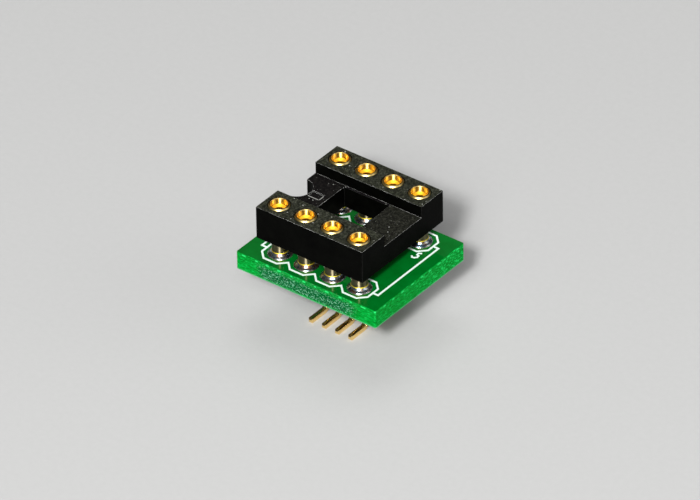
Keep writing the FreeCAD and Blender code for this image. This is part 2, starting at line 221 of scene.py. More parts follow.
def upward(tree):
    """How far the surface looks up or down: 1 up, 0 upright, -1 down."""
    geometry = tree.nodes.new("ShaderNodeNewGeometry")
    return components(tree, geometry.outputs["True Normal"])[2]


def specks(tree, vector, scale, size, keep):
    """Small round dots scattered in space: 1 inside a dot, 0 outside; keep is the share of cells used."""
    cells = tree.nodes.new("ShaderNodeTexVoronoi")
    cells.inputs["Scale"].default_value = scale
    tree.links.new(vector, cells.inputs["Vector"])
    split = tree.nodes.new("ShaderNodeSeparateColor")
    tree.links.new(cells.outputs["Color"], split.inputs["Color"])
    near = maths(tree, "LESS_THAN", cells.outputs["Distance"], size)
    used = maths(tree, "LESS_THAN", split.outputs["Red"], keep)
    return times(tree, near, used)


def set_colour(tree, surface, colour):
    """Gives the shader a base colour from a socket."""
    tree.links.new(colour, surface.inputs["Base Color"])


def set_roughness(tree, surface, value):
    """Gives the shader a roughness from a socket."""
    tree.links.new(value, surface.inputs["Roughness"])


def bump(tree, height, surface, strength, distance):
    """Relief from a value between 0 and 1; distance is its height in millimetres."""
    node = tree.nodes.new("ShaderNodeBump")
    node.inputs["Strength"].default_value = strength
    node.inputs["Distance"].default_value = distance * MM
    tree.links.new(height, node.inputs["Height"])
    tree.links.new(node.outputs["Normal"], surface.inputs["Normal"])


# Turns of the anisotropy: a highlight drawn out along the axis, and one drawn out round it.
ALONG, ROUND = 0.25, 0.0

# Colours that are laid over others.
DEEP_BLACK = (0.003, 0.003, 0.003)
# Painted shade on the bridges between the rails.
BRIDGE_SHADE = (0.0055, 0.0035, 0.0055)
DUST_GREY = (0.50, 0.51, 0.47)
# Painted highlight on the lips of the gate recess.
LIP_GLINT_GREY = (0.42, 0.42, 0.39)
# Pale grey of the moulding's edges: partly rubbed wear, partly a painted highlight.
RUBBED_AND_GLINT_GREY = (0.80, 0.81, 0.77)
# Dark brown painted shade deep inside a contact.
DEPTH_SHADE_BROWN = (0.16, 0.030, 0.004)
CLOTH_WHITE = (0.22, 0.58, 0.38)
FLECK_GREEN = (0.015, 0.62, 0.115)
DASH_GREEN = (0.03, 0.75, 0.18)
FOOT_GREEN = (0.16, 0.62, 0.30)

# Places on the moulding: (centre, reach) along x, and for all but the ledge along y too.
LEDGE_X = (0.0, 2.13)
OPENING_EDGES = (LEDGE_X, (0.0, 2.3))
GATE_EDGES = ((-3.22, 0.60), (0.0, 0.42))
NEAR_LIP = ((-3.20, 0.50), (-0.405, 0.035))
END_LIP = ((-2.64, 0.030), (-0.10, 0.28))

# Distance from one bright glass bundle to the next along the board's cut edge.
BUNDLE_PITCH = 1.15


def make_moulding():
    """Black glass-filled moulding: walls painted deep black as painted shade, upper faces greyed by fine
    texture and dust.
    """
    material, tree, surface, space = shader("moulding")
    x, y, z = components(tree, space)
    grain = noise_of(tree, space, 7.0, 5.0, 0.65)
    patches = noise_of(tree, space, 1.1, 3.0, 0.6)
    scuffs = noise_of(tree, stretch(tree, space, 3.2, 1.3, 1.0), 1.6, 4.0, 0.7)
    top = ramp(tree, upward(tree), (0.55, 0.0), (0.95, 1.0))
    # Painted shade: the walls are painted far darker than the upper faces.
    wall = ramp(tree, patches, (0.3, (0.0006, 0.0006, 0.0005)), (0.7, (0.0016, 0.0017, 0.0013)))
    worn = ramp(
        tree, scuffs,
        (0.36, (0.0220, 0.0240, 0.0160)),
        (0.54, (0.0450, 0.0480, 0.0330)),
        (0.75, (0.0950, 0.0980, 0.0790)),
    )

    # Painted shade: the bridges, which lie below the rails, are painted darker than them, and most of all at
    # the notch.
    along = maths(tree, "ADD", maths(tree, "DIVIDE", x, 2 * body_high.x), 0.5)
    shade = ramp(tree, along, (0.2, 0.85), (0.8, 0.45))
    # The ledge beside the opening gets the full painted shade and stays nearly black.
    shade = maths(tree, "MAXIMUM", shade, within(tree, x, *LEDGE_X))
    depth = maths(tree, "SUBTRACT", RAIL_TOP, z)
    # How much painted shade a place gets: only below the rail tops.
    low = times(tree, ramp(tree, depth, (0.05, 0.0), (0.2, 1.0)), shade)
    worn = mix(tree, low, worn, BRIDGE_SHADE)
    worn = mix(tree, ramp(tree, grain, (0.45, 0.75), (0.58, 0.0)), worn, DEEP_BLACK)

    # Two sides of the gate recess have a lip painted pale grey: a painted highlight.
    lip = maths(tree, "MAXIMUM", patch(tree, x, y, NEAR_LIP), patch(tree, x, y, END_LIP))
    worn = mix(tree, times(tree, lip, 0.8), worn, LIP_GLINT_GREY)
    tone = mix(tree, top, wall, worn)

    coarse_dust = specks(tree, space, 2.9, 0.13, 0.30)
    fine_dust = specks(tree, stretch(tree, space, 1.0, 1.0, 0.6), 7.5, 0.16, 0.12)
    dust = maths(tree, "MAXIMUM", coarse_dust, times(tree, fine_dust, 0.6))
    set_colour(tree, surface, mix(tree, times(tree, dust, top, 0.85), tone, DUST_GREY))
    set_roughness(tree, surface, ramp(tree, grain, (0.3, 0.34), (0.75, 0.55)))
    surface.inputs["Specular IOR Level"].default_value = 0.015
    bump(tree, grain, surface, 0.4, 0.015)
    return material


def make_worn_and_glinting_edge():
    """The moulding's rounded edges: those that look up are pale grey in broken stretches, partly rubbed wear
    and partly a painted highlight where they catch the light.
    """
    material, tree, surface, space = shader("moulding_edge")
    x, y, _ = components(tree, space)
    rub = noise_of(tree, space, 2.9, 5.0, 0.8)
    # Edges that look up get more of the pale grey: painted highlight from the light above.
    up = ramp(tree, upward(tree), (0.05, 0.04), (0.35, 1.0))
    amount = times(tree, ramp(tree, rub, (0.42, 0.08), (0.49, 0.5), (0.56, 1.0)), up)
    # The opening's edges get hardly any of the pale grey, and those of the gate recess get it all along.
    spared = times(tree, patch(tree, x, y, OPENING_EDGES), 0.9)
    amount = times(tree, amount, maths(tree, "SUBTRACT", 1.0, spared))
    amount = maths(tree, "MAXIMUM", amount, times(tree, patch(tree, x, y, GATE_EDGES), up, 0.7))
    set_colour(tree, surface, mix(tree, amount, DEEP_BLACK, RUBBED_AND_GLINT_GREY))
    set_roughness(tree, surface, ramp(tree, rub, (0.4, 0.32), (0.7, 0.5)))
    surface.inputs["Specular IOR Level"].default_value = 0.25
    bump(tree, rub, surface, 0.3, 0.01)
    return material


def make_gold(name, colour, deep, roughness, spread=0.0, turn=ALONG, shade_below=None):
    """Gold plating over fine turning marks, which draw its highlights out along or round the axis.

    Patches of it have the colour deep. The highlights are drawn out by spread, from 0 to 1. Below the
    height in the last argument the gold is painted dark brown: painted shade deep in a contact.
    """
    material, tree, surface, space = shader(name)
    patches = noise_of(tree, space, 2.2, 3.0, 0.6)
    tone = mix(tree, ramp(tree, patches, (0.35, 0.0), (0.75, 1.0)), colour, deep)
    if shade_below is not None:
        # Painted shade: below that height the gold turns dark brown.
        depth = maths(tree, "SUBTRACT", shade_below, components(tree, space)[2])
        tone = mix(tree, ramp(tree, depth, (0.0, 0.0), (0.12, 1.0)), tone, DEPTH_SHADE_BROWN)
    set_colour(tree, surface, tone)
    surface.inputs["Metallic"].default_value = 1.0
    surface.inputs["Anisotropic"].default_value = spread
    surface.inputs["Anisotropic Rotation"].default_value = turn
    if spread:
        round_axis = tree.nodes.new("ShaderNodeTangent")
        round_axis.direction_type = "RADIAL"
        round_axis.axis = "Z"
        tree.links.new(round_axis.outputs["Tangent"], surface.inputs["Tangent"])
    marks = noise_of(tree, stretch(tree, space, 1.0, 1.0, 9.0), 2.0, 2.0)
    set_roughness(tree, surface, ramp(tree, marks, (0.3, roughness - 0.05), (0.8, roughness + 0.08)))
    bump(tree, patches, surface, 0.06, 0.004)
    return material


def make_solder():
    """Bright rippled solder under a thin film, which turns it bluish, grey or brown in patches."""
    material, tree, surface, space = shader("solder")
    film = noise_of(tree, space, 2.4, 3.0, 0.6)
    tone = ramp(
        tree, film,
        (0.38, (0.26, 0.42, 0.56)),
        (0.46, (0.66, 0.78, 0.82)),
        (0.54, (0.52, 0.48, 0.43)),
        (0.61, (0.42, 0.20, 0.11)),
    )
    set_colour(tree, surface, tone)
    surface.inputs["Metallic"].default_value = 1.0
    set_roughness(tree, surface, ramp(tree, film, (0.35, 0.22), (0.75, 0.34)))
    ripples = noise_of(tree, space, 5.0, 3.0)
    bump(tree, ripples, surface, 0.55, 0.02)
    return material


def make_tin():
    """Tinned copper of the lands."""
    material, tree, surface, space = shader("tinned_copper")
    film = noise_of(tree, space, 6.0, 3.0, 0.6)
    set_colour(tree, surface, ramp(tree, film, (0.3, (0.84, 0.84, 0.83)), (0.8, (0.66, 0.64, 0.60))))
    surface.inputs["Metallic"].default_value = 1.0
    set_roughness(tree, surface, ramp(tree, film, (0.3, 0.18), (0.8, 0.36)))
    bump(tree, film, surface, 0.25, 0.01)
    return material


def make_lacquer(name, thin, thick):
    """Clear green lacquer, with a cloudy change between the colours thin and thick."""
    material, tree, surface, space = shader(name)
    cloud = noise_of(tree, space, 0.8, 3.0, 0.55)
    set_colour(tree, surface, ramp(tree, cloud, (0.3, thin), (0.75, thick)))
    gloss = noise_of(tree, space, 5.0, 3.0, 0.6)
    set_roughness(tree, surface, ramp(tree, gloss, (0.3, 0.02), (0.8, 0.05)))
    surface.inputs["Specular IOR Level"].default_value = 1.0
    bump(tree, noise_of(tree, space, 1.6, 2.0), surface, 0.06, 0.02)
    return material


def make_laminate():
    """The board's cut edge: glass cloth in clear green resin, frayed white along the middle of a side."""
    material, tree, surface, space = shader("laminate_edge")
    x, y, z = components(tree, space)
    height = maths(tree, "DIVIDE", maths(tree, "SUBTRACT", z, BOARD_FOOT), BOARD_TOP - BOARD_FOOT)

    # Clear resin in layers, with bright flecks that grow stronger towards the rear of the board.
    layers = noise_of(tree, stretch(tree, space, 0.8, 0.8, 5.0), 2.4, 4.0, 0.65)
    clear = ramp(
        tree, layers,
        (0.30, (0.000, 0.105, 0.007)),
        (0.50, (0.000, 0.225, 0.020)),
        (0.72, (0.000, 0.420, 0.056)),
    )
    flecks = noise_of(tree, stretch(tree, space, 2.0, 2.0, 6.0), 1.7, 2.0, 0.5)
    rear = maths(tree, "ADD", maths(tree, "DIVIDE", y, 2 * board_high.y), 0.5)
    strength = ramp(tree, rear, (0.45, 0.40), (0.80, 1.0))
    fleck = times(tree, ramp(tree, flecks, (0.54, 0.0), (0.64, 1.0)), strength)
    clear = mix(tree, fleck, clear, FLECK_GREEN)

    # Frayed cloth in the middle of a side's length and height.
    frayed = ramp(tree, layers, (0.35, (0.000, 0.040, 0.010)), (0.70, (0.000, 0.115, 0.028)))
    threads = noise_of(tree, stretch(tree, space, 3.2, 3.2, 4.6), 2.7, 3.0, 0.75)
    cloth = mix(tree, ramp(tree, threads, (0.55, 0.0), (0.62, 1.0)), frayed, CLOTH_WHITE)
    along = maths(tree, "DIVIDE", maths(tree, "ABSOLUTE", x), board_high.x)
    ragged = maths(tree, "ADD", along, times(tree, noise_of(tree, space, 0.9, 2.0), 0.3))
    middle_part = ramp(tree, ragged, (0.72, 1.0), (0.92, 0.0))
    lower_part = ramp(tree, height, (0.08, 0.35), (0.20, 1.0), (0.66, 1.0), (0.84, 0.2))
    edge = mix(tree, times(tree, middle_part, lower_part, 0.9), clear, cloth)

    # A bundle of glass that lies along the side shows as a bright dash under the upper face.
    run = times(tree, maths(tree, "ADD", x, y), 2 * math.pi / BUNDLE_PITCH)
    wander = times(tree, noise_of(tree, space, 0.7, 2.0), 4.0)
    bundles = maths(tree, "SINE", maths(tree, "ADD", run, wander))
    dashes = ramp(tree, bundles, (0.60, 0.0), (0.85, 1.0))
    under_top = ramp(tree, height, (0.86, 0.0), (0.90, 1.0), (0.94, 1.0), (0.97, 0.0))
    edge = mix(tree, times(tree, dashes, under_top, 0.8), edge, DASH_GREEN)
    foot_line = ramp(tree, height, (0.03, 1.0), (0.09, 0.0))
    set_colour(tree, surface, mix(tree, times(tree, foot_line, 0.45), edge, FOOT_GREEN))
    set_roughness(tree, surface, ramp(tree, threads, (0.3, 0.42), (0.8, 0.62)))
    surface.inputs["Specular IOR Level"].default_value = 0.02
    bump(tree, threads, surface, 0.25, 0.02)
    return material


def make_ink():
    """White printed ink, slightly uneven, with small pinholes of lacquer."""
    material, tree, surface, space = shader("printed_ink")
    cover = noise_of(tree, space, 11.0, 3.0, 0.6)
    tone = ramp(
        tree, cover,
        (0.28, (0.45, 0.68, 0.55)),
        (0.42, (0.78, 0.92, 0.85)),
        (0.80, (0.88, 0.97, 0.93)),
    )
    set_colour(tree, surface, tone)
    set_roughness(tree, surface, ramp(tree, cover, (0.3, 0.42), (0.8, 0.60)))
    bump(tree, cover, surface, 0.2, 0.006)
    return material


def make_floor():
    """Pale matt paper."""
    material, tree, surface, space = shader("floor")
    paper = noise_of(tree, space, 2.0, 3.0, 0.6)
    set_colour(tree, surface, ramp(tree, paper, (0.3, (0.490, 0.490, 0.485)), (0.7, (0.505, 0.505, 0.500))))
    surface.inputs["Roughness"].default_value = 0.75
    surface.inputs["Specular IOR Level"].default_value = 0.2
    return material


MOULDING = make_moulding()
WORN_AND_GLINTING_EDGE = make_worn_and_glinting_edge()
# The barrels' gold is a darkened copy of the plating of the head and bore: painted shade.
SHADED_BARREL_GOLD = make_gold("gold_barrel_shaded", (0.25, 0.215, 0.13), (0.18, 0.15, 0.085), 0.46, 1.0)
HEAD_GOLD = make_gold("gold_head", (0.74, 0.57, 0.23), (0.62, 0.44, 0.14), 0.33, 0.5, ROUND)
RIM_GOLD = make_gold("gold_rim", (0.55, 0.25, 0.07), (0.45, 0.18, 0.05), 0.18)
BORE_GOLD = make_gold("gold_bore", (1.0, 0.76, 0.22), (1.0, 0.66, 0.14), 0.42, 1.0)
CLIP = make_gold("gold_clip", (1.0, 0.66, 0.05), (1.0, 0.58, 0.04), 0.60, shade_below=BOARD_TOP + COLLAR_TOP)
BEAD_GOLD = make_gold("gold_foot", (1.0, 0.80, 0.08), (0.95, 0.74, 0.06), 0.50)
PIN = make_gold("gold_pin", (0.98, 0.72, 0.30), (0.92, 0.62, 0.22), 0.20)
SOLDER = make_solder()
TIN = make_tin()
LACQUER = make_lacquer("solder_mask", (0.000, 0.115, 0.010), (0.000, 0.155, 0.016))
TRACK = make_lacquer("masked_copper", (0.002, 0.180, 0.026), (0.004, 0.240, 0.040))
LAMINATE = make_laminate()
INK = make_ink()
FLOOR = make_floor()


# Shapes

def piece(name, shape, material, slot, replaces=(), sharp=35, *finishes):
    """A finished piece from (vertices, faces) or a mesh in millimetres.

    An edge stays sharp where its faces meet at more than sharp degrees, unless the mesh brings its
    own normals. The finishes are for the mesh's faces with material index 1, 2 and so on.
    """
    if isinstance(shape, bpy.types.Mesh):
        mesh = shape
    else:
        mesh = bpy.data.meshes.new(name)
        mesh.from_pydata([tuple(v) for v in shape[0]], [], shape[1])
    mesh.name = name
    mesh.transform(Matrix.Scale(MM, 4))
    mesh.validate()
    indices = [polygon.material_index for polygon in mesh.polygons]
    mesh.materials.clear()
    for finish in (material, *finishes):
        mesh.materials.append(finish)
    for polygon, index in zip(mesh.polygons, indices):
        polygon.material_index = min(index, len(finishes))
    if not mesh.has_custom_normals:
        mesh.shade_smooth()
        mesh.set_sharp_from_angle(angle=math.radians(sharp))
    thing = bpy.data.objects.new(name, mesh)
    bpy.context.scene.collection.objects.link(thing)
    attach(thing, "root")
    if replaces:
        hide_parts(*replaces)


def lathe(profile, x, y, z, segments=SEGMENTS, warp=None):
    """Turns a profile of (radius, height) points about an upright axis; radius 0 closes an end."""
    vertices, faces, rings = [], [], []
    for r, h in profile:
        if r == 0:
            rings.append([len(vertices)])
            vertices.append((x, y, z + h))
            continue
        ring = []
        for i in range(segments):
            a = 2 * math.pi * i / segments
            rr, hh = warp(r, h, a) if warp else (r, h)
            ring.append(len(vertices))
            vertices.append((x + rr * math.cos(a), y + rr * math.sin(a), z + hh))
        rings.append(ring)
    for lower, upper in zip(rings, rings[1:]):
        for i in range(segments):
            j = (i + 1) % segments
            if len(lower) == 1:
                faces.append((lower[0], upper[j], upper[i]))
            elif len(upper) == 1:
                faces.append((lower[i], lower[j], upper[0]))
            else:
                faces.append((lower[i], lower[j], upper[j], upper[i]))
    return vertices, faces


def join(*shapes):
    """Several (vertices, faces) as one."""
    vertices, faces = [], []
    for more, loops in shapes:
        start = len(vertices)
        vertices += [tuple(v) for v in more]
        faces += [tuple(i + start for i in loop) for loop in loops]
    return vertices, faces


def arc(cx, cy, radius, start, end, count):
    """Points on an arc, angles in degrees."""
    points = []
    for i in range(count + 1):
        a = math.radians(start + (end - start) * i / count)
        points.append((cx + radius * math.cos(a), cy + radius * math.sin(a)))
    return points


def slope(r_foot, r_top, low, high, count, sag):
    """A nearly straight flank that sags a little in its middle, as (radius, height) points."""
    points = []
    for i in range(count + 1):
        t = i / count
        dip = sag * math.sin(math.pi * t)
        points.append((r_foot + (r_top - r_foot) * t - dip, low + (high - low) * t - dip))
    return points


def hollow(r_foot, r_top, rise, count):
    """A hollow flank from a wide foot at height 0 to an upright wall, as (radius, height) points."""
    run = r_foot - r_top
    radius = (run ** 2 + rise ** 2) / (2 * run)
    cx = r_top + radius
    angle = math.asin(min(1.0, rise / radius))
    points = []
    for i in range(count + 1):
        a = angle * (1 - i / count)
        points.append((cx - radius * math.cos(a), rise - radius * math.sin(a)))
    return points


def sleeve_mesh(x, y):
    """The turned sleeve: rounded tail, barrel, bevelled head, and the bore down to its floor.

    Its finishes are the barrel's, the head's bevels', the flat rim's, the bore's and the foot bead's.
    """
    barrel_finish, head_finish, rim_finish, bore_finish, bead_finish = range(5)
    edge, chamfer = 0.03, 0.035
    tail = [(0, TAIL_END), (TAIL - 0.08, TAIL_END), (TAIL - 0.015, TAIL_END + 0.04)]
    tail += [(TAIL, TAIL_END + 0.11), (TAIL, BARREL_FOOT)]
    foot = [(BARREL - 0.06, BARREL_FOOT), (BARREL, BARREL_FOOT + 0.06), (BARREL, BEAD_FOOT)]
    bead = [(BARREL + 0.032, BEAD_FOOT + 0.02), (BARREL + 0.04, BEAD_FOOT + 0.045)]
    bead += [(BARREL + 0.025, BEAD_FOOT + 0.07), (BARREL, BEAD_FOOT + 0.085)]
    shank = [(BARREL, SEAT - 0.002), (HEAD, SEAT - 0.002)]
    bevel = arc(HEAD - edge, LIP - BEVEL - edge, edge, 0, 55, 3) + [(RIM, LIP)]
    mouth = [(MOUTH, LIP), (MOUTH - chamfer, LIP - chamfer)]
    bore = [(ENTRY + 0.012, FLARE_TOP + 0.05), (ENTRY, FLARE_TOP - 0.09)]
    bore += [(BORE, BORE_TOP), (BORE, BORE_FOOT), (0, BORE_POINT)]
    vertices, faces = lathe(tail + foot + bead + shank + bevel + mouth + bore, x, y, BOARD_TOP)
    mesh = bpy.data.meshes.new("sleeve")
    mesh.from_pydata(vertices, [], faces)

    # One finish for each ring of faces, from the tail's end up, over the lip and down the bore.
    rings = [barrel_finish] * (len(tail + foot) - 1) + [bead_finish] * len(bead)
    rings += [barrel_finish] * len(shank) + [head_finish] * len(bevel)
    rings += [rim_finish, head_finish] + [bore_finish] * len(bore)
    for i, polygon in enumerate(mesh.polygons):
        polygon.material_index = rings[i // SEGMENTS]
    return mesh


def clip_shape(x, y, turn):
    """Flare and collar as one closed ring, then four fingers that lean inwards."""
    outside = THROAT + WALL
    collar = [(THROAT, COLLAR_FOOT), (outside, COLLAR_FOOT), (outside, COLLAR_TOP - 0.05)]
    flare = [(FLARE - 0.03, FLARE_TOP - 0.075), (FLARE, FLARE_TOP - 0.05)]
    flare += [(FLARE + 0.003, FLARE_TOP - 0.005), (FLARE - 0.02, FLARE_TOP)]
    cone = [(THROAT + 0.14, COLLAR_TOP + 0.085), (THROAT + 0.05, COLLAR_TOP + 0.03)]
    cone += [(THROAT + 0.01, COLLAR_TOP), (THROAT, COLLAR_TOP - 0.04)]
    ring = collar + flare + cone
    body = lathe(ring + ring[:1], x, y, BOARD_TOP)

    vertices, faces = [], []
    steps, across, curve = 8, 10, 1.3
    quarter = math.pi / 2
    for finger in range(4):
        start = len(vertices)
        for i in range(steps + 1):
            share = i / steps
            h = COLLAR_FOOT + (TIP_FOOT - COLLAR_FOOT) * share
            inner = THROAT + (GRIP - THROAT) * share ** curve
            for radius in (inner, inner + WALL):
                gap = math.asin(SLIT / 2 / radius)
                for k in range(across + 1):
                    a = turn + finger * quarter + gap + (quarter - 2 * gap) * k / across
                    vertices.append((x + radius * math.cos(a), y + radius * math.sin(a), BOARD_TOP + h))
        row = 2 * (across + 1)

        def at(i, skin, k):
            """The number of a vertex: step down, 0 for the inner or 1 for the outer skin, place across."""
            return start + i * row + skin * (across + 1) + k

        for i in range(steps):
            for k in range(across):
                faces.append((at(i, 0, k), at(i, 0, k + 1), at(i + 1, 0, k + 1), at(i + 1, 0, k)))
                faces.append((at(i, 1, k), at(i + 1, 1, k), at(i + 1, 1, k + 1), at(i, 1, k + 1)))
            for k, flip in ((0, False), (across, True)):
                side = (at(i, 0, k), at(i + 1, 0, k), at(i + 1, 1, k), at(i, 1, k))
                faces.append(side[::-1] if flip else side)
        for k in range(across):
            faces.append((at(steps, 0, k), at(steps, 0, k + 1), at(steps, 1, k + 1), at(steps, 1, k)))
    return join(body, (vertices, faces))


def solder_shape(x, y, seed):
    """A skirt round the barrel and a cone round the tail below the board, a little uneven."""
    def warp(r, h, a):
        """Bulges that fade out towards the metal that the solder clings to."""
        wave = noise.noise(Vector((math.cos(a) * 1.3 + seed * 7.1, math.sin(a) * 1.3, h * 2)))
        fine = noise.noise(Vector((math.cos(a) * 3.1 + seed * 3.7, math.sin(a) * 3.1, h * 5)))
        if h < 0:
            free = min(1.0, max(0.0, (r - TAIL - 0.01) / 0.4))
        else:
            free = min(1.0, (r - BARREL) / 0.15)
        return r * (1 + free * (0.030 * wave + 0.010 * fine - 0.028)), h

    inside = BARREL - 0.04
    crown = 0.34 + 0.03 * noise.noise(Vector((seed * 2.3, 0.4, 0.1)))
    skirt = [(inside, 0.03), (0.955, 0.034), (0.968, 0.045), (0.958, 0.062)]
    skirt += slope(0.93, BARREL + 0.005, 0.085, crown, 8, 0.02)
    skirt += [(inside, crown + 0.004)]

    under = BOARD_FOOT - BOARD_TOP
    length = 0.70
    flank = [(r, under - COPPER - h) for r, h in hollow(0.95, TAIL + 0.002, length, 14)]
    cone = [(TAIL - 0.05, under - COPPER - length - 0.004)] + flank[::-1]
    cone += [(0.962, under - 0.045), (0.952, under - 0.034), (TAIL + 0.05, under - 0.03)]
    return join(lathe(skirt, x, y, BOARD_TOP, warp=warp), lathe(cone, x, y, BOARD_TOP, warp=warp))


def land_shape(x, y, outer, hole):
    """Copper rings on both faces of the board and the plating between them."""
    rounding, sunk = 0.02, 0.001
    under = BOARD_FOOT - BOARD_TOP
    profile = [
        (hole, under - COPPER),
        (outer - rounding, under - COPPER),
        (outer, under - COPPER + rounding),
        (outer, under + sunk),
        (outer, -sunk),
        (outer, COPPER - rounding),
        (outer - rounding, COPPER),
        (hole, COPPER),
        (hole, under - COPPER),
    ]
    vertices, faces = lathe(profile, x, y, BOARD_TOP, segments=LAND_SEGMENTS)
    # The ring of faces between the fourth and the fifth point lies in the board and is left out.
    buried = range(3 * LAND_SEGMENTS, 5 * LAND_SEGMENTS)
    return vertices, [face for face in faces if not all(i in buried for i in face)]


def rounded_square(half, radius, count=3):
    """A square's outline with round corners, counter-clockwise."""
    inside = half - radius
    points = []
    for cx, cy, start in ((1, 1, 0), (-1, 1, 90), (-1, -1, 180), (1, -1, 270)):
        points += arc(cx * inside, cy * inside, radius, start, start + 90, count)
    return points


def foot_shape(x, y, facing):
    """A bent square wire: along the floor to its tip, round the bend, and up through the board."""
    half, bend, bevel, edge = 0.2, 0.38, 0.1, 0.035
    reach, tip, waist, top = 2.72, 0.5, 3.0, 7.15
    leg = abs(y)
    level, upright, turns = math.pi / 2, 0.0, 12

    # Each place on the wire: distance from the board's middle, height, lean and relative thickness.
    path = [(reach, half, level, 0.5), (reach - bevel, half, level, 1.0), (reach - tip, half, level, 1.0)]
    for i in range(turns + 1):
        a = level * i / turns
        path.append((leg + bend - bend * math.sin(a), half + bend - bend * math.cos(a), level - a, 1.0))
    path += [(leg, waist, upright, 1.0), (leg, top - bevel, upright, 1.0), (leg, top, upright, 0.5)]
    square = rounded_square(half, edge)
    vertices, faces = [], []
    count = len(square)
    for out, up, lean, size in path:
        for u, v in square:
            u, v = u * size, v * size
            vertices.append((x + facing * u, facing * (out + v * math.cos(lean)), up + v * math.sin(lean)))
    last = (len(path) - 1) * count
    for lower in range(0, last, count):
        upper = lower + count
        for k in range(count):
            j = (k + 1) % count
            faces.append((lower + k, upper + k, upper + j, lower + j))
    faces.append(tuple(range(count)))
    faces.append(tuple(reversed(range(last, last + count))))
    return vertices, faces


def leg_solder_shape(x, y, seed):
    """A small cone of solder from a round foot to the square wire."""
    rings, segments = 8, LAND_SEGMENTS
    low, high, cap = 0.03, 0.45, 0.005
    wire, wire_corner, skirt, uneven, fall = 0.215, 0.275, 0.468, 0.012, 2.2
    vertices, faces = [], []
    for i in range(rings + 1):
        t = i / rings
        share = (1 - t) ** fall
        for k in range(segments):
            a = 2 * math.pi * k / segments
            square = min(wire / max(abs(math.cos(a)), abs(math.sin(a))), wire_corner)
            foot = skirt + uneven * noise.noise(Vector((math.cos(a) + seed, math.sin(a), 0.3)))
            radius = square + (foot - square) * share
            height = BOARD_TOP + low + (high - low) * t
            vertices.append((x + radius * math.cos(a), y + radius * math.sin(a), height))
    for i in range(rings):
        lower, upper = i * segments, (i + 1) * segments
        for k in range(segments):
            j = (k + 1) % segments
            faces.append((lower + k, lower + j, upper + j, upper + k))
    last, centre = rings * segments, len(vertices)
    vertices.append((x, y, BOARD_TOP + high + cap))
    for k in range(segments):
        faces.append((last + k, last + (k + 1) % segments, centre))
    return vertices, faces


def figure_shape():
    """The printed figure 5 beside contact 5: short straight strokes, each a flat bar of ink.

    Each bar is a little higher than the one before, so where two overlap only one is on top.
    """
    half, sunk, ink, step = 0.068, 0.004, 0.024, 0.002
    vertices, faces = [], []
    for stroke, ((x0, y0), (x1, y1)) in enumerate(zip(FIGURE, FIGURE[1:])):
        along = Vector((x1 - x0, y1 - y0)).normalized() * half
        across = Vector((-along.y, along.x))
        start, end = Vector((x0, y0)) - along, Vector((x1, y1)) + along
        first = len(vertices)
        for z in (BOARD_TOP - sunk, BOARD_TOP + ink + step * stroke):
            for corner in (start - across, end - across, end + across, start + across):
                vertices.append((corner.x, corner.y, z))
        faces += [(first + 3, first + 2, first + 1, first), (first + 4, first + 5, first + 6, first + 7)]
        for i in range(4):
            j = (i + 1) % 4
            faces.append((first + i, first + j, first + 4 + j, first + 4 + i))
    return vertices, faces


def prism(outline, low, high):
    """An upright prism on an outline, counter-clockwise seen from above."""
    count = len(outline)
    vertices = [(px, py, low) for px, py in outline] + [(px, py, high) for px, py in outline]
    faces = [tuple(reversed(range(count))), tuple(range(count, 2 * count))]
    for i in range(count):
        j = (i + 1) % count
        faces.append((i, j, count + j, count + i))
    return vertices, faces


def temporary(name, shape):
    """An object in millimetres for the boolean work."""
    mesh = bpy.data.meshes.new(name)
    mesh.from_pydata([tuple(v) for v in shape[0]], [], shape[1])
    mesh.validate()
    thing = bpy.data.objects.new(name, mesh)
    bpy.context.scene.collection.objects.link(thing)
    return thing


def evaluated(thing):
    """The object's mesh with its modifiers applied."""
    bpy.context.view_layer.update()
    graph = bpy.context.evaluated_depsgraph_get()
    return bpy.data.meshes.new_from_object(thing.evaluated_get(graph))


def drop(*things):
    """Removes objects and their meshes."""
    for thing in things:
        mesh = thing.data
        bpy.data.objects.remove(thing)
        bpy.data.meshes.remove(mesh)


def cut_and_bevel(name, block, cutters, materials, width, steps):
    """A block with cutters taken away and its edges rounded; the rounded faces get materials[1]."""
    base = temporary(f"{name}_block", block)
    tools = []
    for i, shape in enumerate(cutters):
        tool = temporary(f"{name}_cut{i}", shape)
        tools.append(tool)
        modifier = base.modifiers.new(f"cut{i}", "BOOLEAN")
        modifier.operation = "DIFFERENCE"
        modifier.solver = "EXACT"
        modifier.object = tool
    mesh = evaluated(base)
    drop(base, *tools)
    work = bmesh.new()
    work.from_mesh(mesh)
    bmesh.ops.remove_doubles(work, verts=work.verts, dist=1e-4)
    bmesh.ops.dissolve_limit(work, angle_limit=math.radians(1), verts=work.verts, edges=work.edges)
    work.to_mesh(mesh)
    work.free()
    for material in materials:
        mesh.materials.append(material)
    mesh.shade_smooth()
    thing = bpy.data.objects.new(name, mesh)
    bpy.context.scene.collection.objects.link(thing)
    modifier = thing.modifiers.new("edge", "BEVEL")
    modifier.width = width
    modifier.segments = steps
    modifier.limit_method = "ANGLE"
    modifier.angle_limit = math.radians(40)
    modifier.miter_outer = "MITER_ARC"
    modifier.use_clamp_overlap = True
    modifier.material = 1
    modifier = thing.modifiers.new("flats", "WEIGHTED_NORMAL")
    modifier.weight = 100
    made = evaluated(thing)
    drop(thing)
    return made


def circle(x, y, radius, count):
    """A circle's outline, counter-clockwise."""
    points = []
    for i in range(count):
        a = 2 * math.pi * i / count
        points.append((x + radius * math.cos(a), y + radius * math.sin(a)))
    return points


def rectangle(x0, y0, x1, y1):
    """A rectangle's outline, counter-clockwise."""
    return [(x0, y0), (x1, y0), (x1, y1), (x0, y1)]


